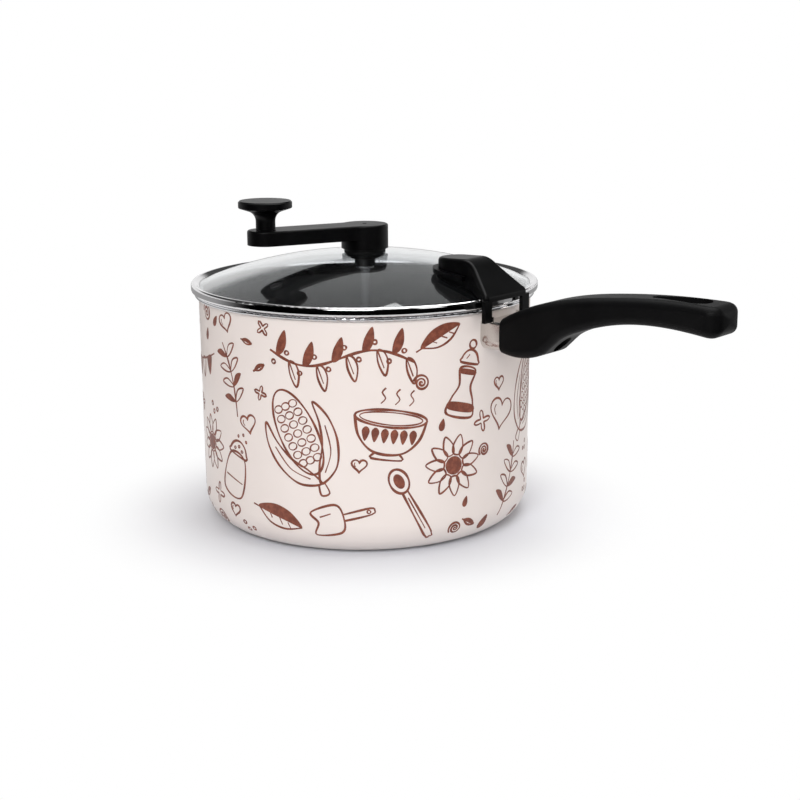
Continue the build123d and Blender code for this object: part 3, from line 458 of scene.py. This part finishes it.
def cob(sketch):
    """A maize cob in its husk: rows of kernels between two curling leaves."""
    angles = [math.radians(20 * i) for i in range(18)]
    body = [(0.19 * math.sin(a), 0.10 + 0.42 * -math.cos(a)) for a in angles]
    sketch.line(body, 1.2, True)
    for row in range(7):
        y = -0.18 + 0.09 * row
        wide = 0.17 * math.sqrt(max(0.05, 1 - ((y - 0.10) / 0.42) ** 2))
        for column in (-1, 0, 1):
            x = wide * 0.62 * column
            sketch.arc((x, y), 0.042, 0, 360, 0.7, 0.8)
    for side in (-1, 1):
        blade = [(0.0, -0.42), (0.20, -0.34), (0.32, -0.12), (0.34, 0.12), (0.27, 0.30),
                 (0.24, 0.10), (0.17, -0.10), (0.06, -0.26)]
        sketch.line([(side * x, y) for x, y in blade], 1.2, True)
        sketch.line([(side * x, y) for x, y in ((0.08, -0.34), (0.22, -0.18), (0.28, 0.06))], 0.7)
    sketch.line([(-0.03, -0.42), (-0.05, -0.52), (0.03, -0.53), (0.03, -0.42)], 1.0)


def shaker(sketch):
    """A salt shaker with a domed, pierced cap."""
    sketch.line([(-0.22, -0.45), (-0.17, 0.12), (0.17, 0.12), (0.22, -0.45)], 1.2, True)
    sketch.line([(-0.2, -0.24), (0.2, -0.24)], 0.8)
    sketch.line(oval(0.19, 0.22, (0, 0.15), 18, 11), 1.3, True)
    for x, y in ((-0.08, 0.24), (0.0, 0.29), (0.08, 0.24)):
        sketch.arc((x, y), 0.018, 0, 360, 0.8)
    for x, y in ((-0.05, 0.44), (0.05, 0.5), (0.13, 0.42)):
        sketch.arc((x, y), 0.015, 0, 360, 0.8)


def flower(sketch):
    """A sunflower with a solid heart and eleven petals."""
    sketch.patch(oval(0.15, 0.15))
    for i in range(11):
        a = 2 * math.pi * i / 11
        along = Vector((math.cos(a), math.sin(a)))
        side = Vector((-along.y, along.x))
        petal = [along * 0.19 + side * -0.06, along * 0.33 + side * -0.09, along * 0.5,
                 along * 0.33 + side * 0.09, along * 0.19 + side * 0.06]
        sketch.line([tuple(p) for p in petal], 1.0, True)


def sprig(sketch):
    """A stem with paired leaves, some of them solid."""
    stem = [(0.12 * math.sin(2.4 * t), t - 0.5) for t in (0.1 * i for i in range(11))]
    sketch.line(stem, 1.1)
    for i in range(1, 5):
        x, y = stem[2 * i]
        for side in (-1, 1):
            blade = [(x, y), (x + side * 0.10, y + 0.02), (x + side * 0.22, y + 0.12),
                     (x + side * 0.10, y + 0.13)]
            if (i + side) % 3:
                sketch.line(blade, 0.9, True)
            else:
                sketch.patch(blade)


def bunting(sketch):
    """A string of pennants, every other one solid."""
    rope = [(x, 0.22 * x * x - 0.05) for x in (-0.8 + 0.1 * i for i in range(17))]
    sketch.line(rope, 1.0)
    for i in range(5):
        left = -0.72 + 0.3 * i
        right = left + 0.2
        tip = ((left + right) / 2, 0.22 * ((left + right) / 2) ** 2 - 0.32)
        flag = [(left, 0.22 * left * left - 0.06), (right, 0.22 * right * right - 0.06), tip]
        if i % 2:
            sketch.line(flag, 1.1, True)
        else:
            sketch.patch(flag)


def scoop(sketch):
    """A small scoop with a ringed handle."""
    sketch.line([(-0.5, 0.18), (-0.1, 0.22), (-0.02, 0.0), (-0.1, -0.22), (-0.5, -0.18), (-0.42, 0.0)],
                1.2, True)
    sketch.line([(-0.02, 0.05), (0.4, 0.05), (0.46, 0.0), (0.4, -0.05), (-0.02, -0.05)], 1.1)
    sketch.arc((0.37, 0.0), 0.025, 0, 360, 0.8)
    sketch.line([(-0.38, 0.08), (-0.2, 0.1)], 0.7)


def garland(sketch):
    """A long waving stem with solid leaves above it, open ones below and berries between."""
    stem = [(x, 0.07 * math.sin(6.5 * x)) for x in (-0.5 + 0.05 * i for i in range(21))]
    sketch.line(stem, 1.4)
    for i in range(1, 20, 2):
        x, y = stem[i]
        solid = i % 4 == 1
        way = 1 if solid else -1
        blade = [(x, y), (x + 0.010, y + way * 0.09), (x + 0.060, y + way * 0.17),
                 (x + 0.075, y + way * 0.08), (x + 0.045, y + way * 0.01)]
        if solid:
            sketch.patch(blade)
        else:
            sketch.line(blade, 1.1, True)
            sketch.line([(x, y), (x + 0.05, y + way * 0.12)], 0.7)
        sketch.arc((x - 0.02, y - way * 0.055), 0.014, 0, 360, 1.0)


def bowl(sketch):
    """A footed bowl with a solid band of points round it and steam above."""
    sketch.arc((0, 0.12), 0.46, 0, 360, 1.3, 0.24)
    sketch.arc((0, 0.12), 0.40, 0, 360, 0.8, 0.20)
    sketch.line([(-0.46, 0.12), (-0.38, -0.14), (-0.17, -0.32), (0.17, -0.32), (0.38, -0.14), (0.46, 0.12)],
                1.4)
    sketch.line([(-0.16, -0.33), (-0.19, -0.40), (0.19, -0.40), (0.16, -0.33)], 1.2)
    for i in range(6):
        x = -0.30 + 0.12 * i
        y = -0.02 - 0.05 * math.cos(1.6 * x)
        sketch.patch([(x - 0.05, y), (x, y + 0.06), (x + 0.05, y), (x, y - 0.13)])
    for x in (-0.16, 0.02, 0.2):
        sketch.line([(x, 0.30), (x + 0.05, 0.37), (x, 0.44), (x + 0.04, 0.50)], 0.8)


def spoon(sketch):
    """A wooden spoon with a solid hollow."""
    sketch.arc((0.34, 0), 0.16, 0, 360, 1.3, 0.72)
    sketch.patch(oval(0.10, 0.062, (0.34, 0), 30, 12))
    sketch.line([(0.18, 0.035), (-0.44, 0.05), (-0.5, 0.0), (-0.44, -0.05), (0.18, -0.035)], 1.2)
    sketch.line([(-0.36, 0.0), (0.1, 0.0)], 0.7)


def mill(sketch):
    """A turned pepper mill with solid rings and a knob on top."""
    sketch.line([(-0.19, -0.5), (-0.17, -0.30), (-0.09, -0.12), (-0.12, 0.10), (0.12, 0.10), (0.09, -0.12),
                 (0.17, -0.30), (0.19, -0.5)], 1.3, True)
    sketch.patch([(-0.18, -0.44), (-0.175, -0.34), (0.175, -0.34), (0.18, -0.44)])
    sketch.patch([(-0.12, 0.03), (-0.12, 0.09), (0.12, 0.09), (0.12, 0.03)])
    sketch.line(oval(0.14, 0.17, (0, 0.17), 18, 11), 1.3, True)
    sketch.arc((0, 0.41), 0.055, 0, 360, 1.2)
    sketch.line([(-0.06, 0.22), (-0.02, 0.28)], 0.8)


def leaf(sketch):
    """A broad leaf, half of it solid."""
    edge = [(-0.5, -0.06), (-0.2, 0.17), (0.18, 0.20), (0.5, 0.04)]
    sketch.patch(edge + [(0.0, 0.0)])
    sketch.line([(-0.5, -0.06), (-0.15, -0.20), (0.2, -0.16), (0.5, 0.04)], 1.1)
    sketch.line([(-0.62, -0.1), (0.0, 0.0), (0.5, 0.04)], 1.1)
    for x in (-0.25, 0.0, 0.2):
        sketch.line([(x, -0.01), (x + 0.12, -0.11)], 0.7)


def kernel(sketch):
    """A solid drop, like a grain of maize."""
    sketch.patch([(0.0, 0.42), (-0.2, 0.02), (-0.16, -0.26), (0.0, -0.36), (0.16, -0.26), (0.2, 0.02)])


# ---------------------------------------------------------------- where the motifs go
# Each is a motif, degrees round the pot from its handle, millimetres up, size and turn.
BIG_MOTIFS = [
    (garland, -57, 128, 92, -3), (cob, -70, 74, 68, 26), (bowl, -41, 84, 50, -8),
    (flower, -19, 56, 40, 10), (shaker, -98, 52, 44, -16), (sprig, -101, 106, 48, 22),
    (scoop, -56, 27, 42, 14), (spoon, -34, 34, 52, 118), (mill, -14, 112, 50, -14),
    (heart, 3, 84, 24, -12), (sprig, 6, 38, 50, -18), (leaf, -79, 24, 34, -24),
    (leaf, -24, 140, 30, 20), (cob, 24, 90, 66, -30), (bowl, 44, 42, 46, 8),
    (garland, 56, 124, 84, 4), (shaker, 84, 58, 44, 14), (scoop, 66, 84, 42, -30),
    (spoon, 104, 112, 54, -40), (flower, 108, 52, 38, 0), (cob, 130, 84, 66, 20),
    (leaf, 128, 24, 34, 18), (sprig, 152, 52, 50, -26), (garland, 168, 126, 84, -5),
    (mill, 180, 62, 50, 12), (bowl, 204, 92, 48, 6), (heart, 204, 40, 24, 14),
    (leaf, 218, 134, 32, -10), (bunting, 232, 114, 44, 4), (spoon, 226, 50, 54, 96),
    (flower, 245, 60, 36, 0),
]
SMALL_MOTIFS = [sparkle, heart, kernel, spiral, dots, leaf]
SMALL_COUNT = 90
SMALL_SEED = 12
SMALL_TRIES = 4000
SMALL_SIZE = (9, 15)
SMALL_UP = (10, 146)
SMALL_TILT = (-40, 40)
SMALL_ROOM = 0.48           # share of two motifs' sizes that their middles keep apart, and 1 mm more


def layout():
    """The big motifs, and small ones dropped between them where there is room."""
    places = [(motif, math.radians(turn) * RIM_RADIUS / MM, up, size, tilt)
              for motif, turn, up, size, tilt in BIG_MOTIFS]
    around = 2 * math.pi * RIM_RADIUS / MM
    pick = random.Random(SMALL_SEED)
    tries = 0
    while len(places) < len(BIG_MOTIFS) + SMALL_COUNT and tries < SMALL_TRIES:
        tries += 1
        across, up = pick.uniform(0, around), pick.uniform(*SMALL_UP)
        size = pick.uniform(*SMALL_SIZE)
        clear = True
        for _, other_across, other_up, other_size, _ in places:
            apart = (across - other_across + around / 2) % around - around / 2
            clear &= math.hypot(apart, up - other_up) > SMALL_ROOM * (size + other_size) + 1.0
        if clear:
            motif = SMALL_MOTIFS[len(places) % len(SMALL_MOTIFS)]
            places.append((motif, across, up, size, pick.uniform(*SMALL_TILT)))
    return places


def resample(points, closed):
    """Points at even steps along a smooth curve through the given ones (Catmull-Rom)."""
    count = len(points)
    result = []
    spans = count if closed else count - 1
    for i in range(spans):
        if closed:
            a, b, c, d = (points[(i + k) % count] for k in (-1, 0, 1, 2))
        else:
            a, b, c, d = (points[min(max(i + k, 0), count - 1)] for k in (-1, 0, 1, 2))
        steps = max(1, int((c - b).length * MM / PEN_STEP) + 1)
        for s in range(steps):
            t = s / steps
            result.append(0.5 * ((2 * b) + (c - a) * t + (2 * a - 5 * b + 4 * c - d) * t * t
                                 + (3 * b - a - 3 * c + d) * t**3))
    if not closed:
        result.append(points[-1])
    return result


def flat_curve(name, fill):
    """An empty curve for pen strokes, or for solid patches where fill is true."""
    data = bpy.data.curves.new(name, "CURVE")
    data.dimensions = "2D" if fill else "3D"
    if fill:
        data.fill_mode = "BOTH"
        data.extrude = 0.5 * PRINT_LIFT
    else:
        data.bevel_depth = PEN
        data.bevel_resolution = 0
        data.use_fill_caps = True
    piece = bpy.data.objects.new(name, data)
    bpy.context.scene.collection.objects.link(piece)
    return piece


def add_spline(piece, points, closed, width, hand):
    spline = piece.data.splines.new("POLY")
    spline.points.add(len(points) - 1)
    spline.use_cyclic_u = closed
    phase = hand.uniform(0, 6)
    for i, (target, point) in enumerate(zip(spline.points, points)):
        target.co = (point.x * MM, point.y * MM, 0, 1)
        target.radius = width * (1 + NIB_SWELL * math.sin(phase + NIB_RATE * i))


def as_mesh(piece):
    bpy.ops.object.select_all(action="DESELECT")
    bpy.context.view_layer.objects.active = piece
    piece.select_set(True)
    bpy.ops.object.convert(target="MESH")
    return bpy.context.view_layer.objects.active


def cut_patches(piece, low, high):
    """Cuts the solid patches into strips both ways, so that they follow the wall's curve."""
    bpy.ops.object.mode_set(mode="EDIT")
    for axis, normal in ((0, (1, 0, 0)), (1, (0, 1, 0))):
        place = low[axis] + 0.5 * PATCH_STEP
        while place < high[axis]:
            bpy.ops.mesh.select_all(action="SELECT")
            point = (place, 0, 0) if axis == 0 else (0, place, 0)
            bpy.ops.mesh.bisect(plane_co=point, plane_no=normal)
            place += PATCH_STEP
    bpy.ops.object.mode_set(mode="OBJECT")


def wrap(piece, across, up, tilt, flatten):
    """Turns flat art about its middle and lays it on the pot."""
    turn = Matrix.Rotation(math.radians(tilt), 2)
    for vertex in piece.data.vertices:
        flat = turn @ Vector((vertex.co.x, vertex.co.y))
        lift = vertex.co.z * flatten
        vertex.co = wall_place(across * MM + flat.x, up * MM + flat.y, lift)


def add_print(ink):
    """All the motifs, as one thin layer of ink that rides on the pot."""
    parts = []
    for number, (motif, across, up, size, tilt) in enumerate(layout()):
        sketch = Sketch(number)
        motif(sketch)
        name = f"art_{number:02d}"
        lines = flat_curve(name, False)
        for points, width, closed in sketch.strokes:
            add_spline(lines, resample([p * size for p in points], closed), closed, width, sketch.hand)
        lines = as_mesh(lines)
        wrap(lines, across, up, tilt, PRINT_LIFT / PEN)
        parts.append(lines)
        if sketch.patches:
            solid = flat_curve(name + "_solid", True)
            for points in sketch.patches:
                add_spline(solid, resample([p * size for p in points], True), True, 1.0, sketch.hand)
            solid = as_mesh(solid)
            reach = size * MM
            cut_patches(solid, (-reach, -reach), (reach, reach))
            for vertex in solid.data.vertices:
                vertex.co.z += PATCH_LIFT
            wrap(solid, across, up, tilt, 1.0)
            parts.append(solid)
    bpy.ops.object.select_all(action="DESELECT")
    for part in parts:
        part.select_set(True)
    bpy.context.view_layer.objects.active = parts[0]
    bpy.ops.object.join()
    art = bpy.context.view_layer.objects.active
    art.name = "wall_print"
    art.data.name = "wall_print"
    art.data.materials.clear()
    art.data.materials.append(ink)
    bpy.ops.object.mode_set(mode="EDIT")
    bpy.ops.mesh.select_all(action="SELECT")
    bpy.ops.mesh.bisect(plane_co=(0, 0, PRINT_TOP), plane_no=(0, 0, 1), clear_outer=True, use_fill=True)
    bpy.ops.mesh.select_all(action="SELECT")
    bpy.ops.mesh.normals_make_consistent(inside=False)
    bpy.ops.object.mode_set(mode="OBJECT")
    bpy.ops.object.shade_smooth_by_angle(angle=math.radians(CREASE))
    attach(art, "pot")


# ---------------------------------------------------------------- floor, world and lamps
FLOOR_RADIUS = 4.0
FLOOR_CLEAR = (0.09, 0.20)      # the floor fades to plain white between these distances
FLOOR_TINT = (0.74, 0.77, 0.83, 1.0)
SOFT_TINT = (1.0, 0.88, 0.78, 1.0)
SOFT_STRENGTH = 0.46            # of the world's own light on the object
LAMP_AIM = (0.03, 0.0, 0.09)
LAMPS = [                       # name, place, size and watts of each softbox
    ("top_softbox", (0.05, 0.2, 1.25), (1.1, 0.9), 9.0),
    ("front_softbox", (0.66, -1.1, 0.85), (0.7, 0.7), 10.5),
    ("right_softbox", (1.35, -0.15, 0.65), (0.4, 0.7), 1.8),
]

FLAG_NEAR, FLAG_FAR = 0.46, 3.2     # the cloth lies on the floor between these distances from the pot's axis
FLAG_LIFT = 0.002                   # it lies this far above the floor
FLAG_HIGH = 4.4                     # and goes up this far from its far edge
FLAG_FOOT = (0.005, 0.02)           # the floor's level gives way to the upright part's between these heights
FLAG_BRIGHT_TO = (1.0, 1.5)         # its far side is bright below these heights and dark above them
FLAG_SIDE = (0.30, -0.35)           # cosines from the camera's side, between which the cloth turns from black
FLAG_LEVELS = (0.40, 1.00, 0.08)    # its far side on the floor, low down and high up


def plain_tree(owner):
    """The emptied shader tree of a material or a world."""
    owner.use_nodes = True
    owner.node_tree.nodes.clear()
    return owner.node_tree


def looked_at(tree):
    """1 for a ray that comes from the camera, straight or by way of gloss or glass, and otherwise 0."""
    rays = tree.nodes.new("ShaderNodeLightPath")
    total = Wire(tree, rays.outputs["Is Camera Ray"])
    for kind in ("Is Glossy Ray", "Is Transmission Ray"):
        total = total.at_least(Wire(tree, rays.outputs[kind]))
    return total


def object_axes(tree):
    place = tree.nodes.new("ShaderNodeTexCoord")
    split = tree.nodes.new("ShaderNodeSeparateXYZ")
    tree.links.new(place.outputs["Object"], split.inputs[0])
    return [Wire(tree, split.outputs[axis]) for axis in "XYZ"]


def shader(tree, kind, tint, strength=None):
    node = tree.nodes.new(kind)
    connect(tree, tint, node.inputs["Color"])
    if strength is not None:
        node.inputs["Strength"].default_value = strength
    return node.outputs[0]


def blend_to_output(tree, factor, first, second, output_kind):
    mix = tree.nodes.new("ShaderNodeMixShader")
    connect(tree, factor, mix.inputs[0])
    tree.links.new(first, mix.inputs[1])
    tree.links.new(second, mix.inputs[2])
    output = tree.nodes.new(output_kind)
    tree.links.new(mix.outputs[0], output.inputs["Surface"])


def add_floor():
    bpy.ops.mesh.primitive_circle_add(vertices=96, radius=FLOOR_RADIUS, fill_type="NGON", location=(0, 0, 0))
    floor = bpy.context.active_object
    floor.name = "floor"
    material = bpy.data.materials.new("pale_floor")
    tree = plain_tree(material)
    x, y, _ = object_axes(tree)
    fade = smooth_step(tree, (x * x + y * y) ** 0.5, *FLOOR_CLEAR)
    matt = shader(tree, "ShaderNodeBsdfDiffuse", FLOOR_TINT)
    white = shader(tree, "ShaderNodeEmission", WHITE)
    blend_to_output(tree, looked_at(tree) * fade, matt, white, "ShaderNodeOutputMaterial")
    floor.data.materials.append(material)


def add_world():
    world = bpy.data.worlds.new("studio")
    bpy.context.scene.world = world
    tree = plain_tree(world)
    soft = shader(tree, "ShaderNodeBackground", SOFT_TINT, SOFT_STRENGTH)
    white = shader(tree, "ShaderNodeBackground", WHITE, 1.0)
    blend_to_output(tree, looked_at(tree), soft, white, "ShaderNodeOutputWorld")


def add_lamps():
    for name, place, size, watts in LAMPS:
        data = bpy.data.lights.new(name, "AREA")
        data.shape = "RECTANGLE"
        data.size, data.size_y = size
        data.energy = watts
        lamp = bpy.data.objects.new(name, data)
        lamp.location = place
        aim = Vector(LAMP_AIM) - Vector(place)
        lamp.rotation_euler = aim.to_track_quat("-Z", "Y").to_euler()
        bpy.context.scene.collection.objects.link(lamp)


def add_flag():
    """A cloth on the floor and up round the object, black towards the camera, which only gloss sees."""
    bpy.ops.mesh.primitive_circle_add(vertices=96, radius=FLAG_NEAR, fill_type="NOTHING",
                                      location=(0, 0, FLAG_LIFT))
    flag = bpy.context.active_object
    flag.name = "studio_cloth"
    bpy.ops.object.mode_set(mode="EDIT")
    bpy.ops.mesh.select_all(action="SELECT")
    bpy.ops.mesh.extrude_edges_move()
    bpy.ops.transform.resize(value=(FLAG_FAR / FLAG_NEAR, FLAG_FAR / FLAG_NEAR, 1))
    bpy.ops.mesh.extrude_edges_move()
    bpy.ops.transform.translate(value=(0, 0, FLAG_HIGH))
    bpy.ops.object.mode_set(mode="OBJECT")

    material = bpy.data.materials.new("studio_cloth")
    tree = plain_tree(material)
    x, y, z = object_axes(tree)
    facing = Vector((-CAMERA_AIM.x, -CAMERA_AIM.y)).normalized()
    away = (x * facing.x + y * facing.y) / (x * x + y * y) ** 0.5 * -1.0
    near_side, far_side = (-cosine for cosine in FLAG_SIDE)
    on_floor, low_down, high_up = FLAG_LEVELS
    level = (smooth_step(tree, z, *FLAG_FOOT, on_floor, low_down)
             + smooth_step(tree, z, *FLAG_BRIGHT_TO, 0.0, high_up - low_down))
    glow = shader(tree, "ShaderNodeEmission", smooth_step(tree, away, near_side, far_side) * level)
    output = tree.nodes.new("ShaderNodeOutputMaterial")
    tree.links.new(glow, output.inputs["Surface"])
    flag.data.materials.append(material)
    flag.visible_camera = False
    flag.visible_diffuse = False
    flag.visible_transmission = False
    flag.visible_shadow = False


# ---------------------------------------------------------------- the scene
bpy.context.scene.view_settings.view_transform = "Standard"
add_camera()
add_world()
add_floor()
add_lamps()
add_flag()
dress_nodes()
add_print(ink_finish())
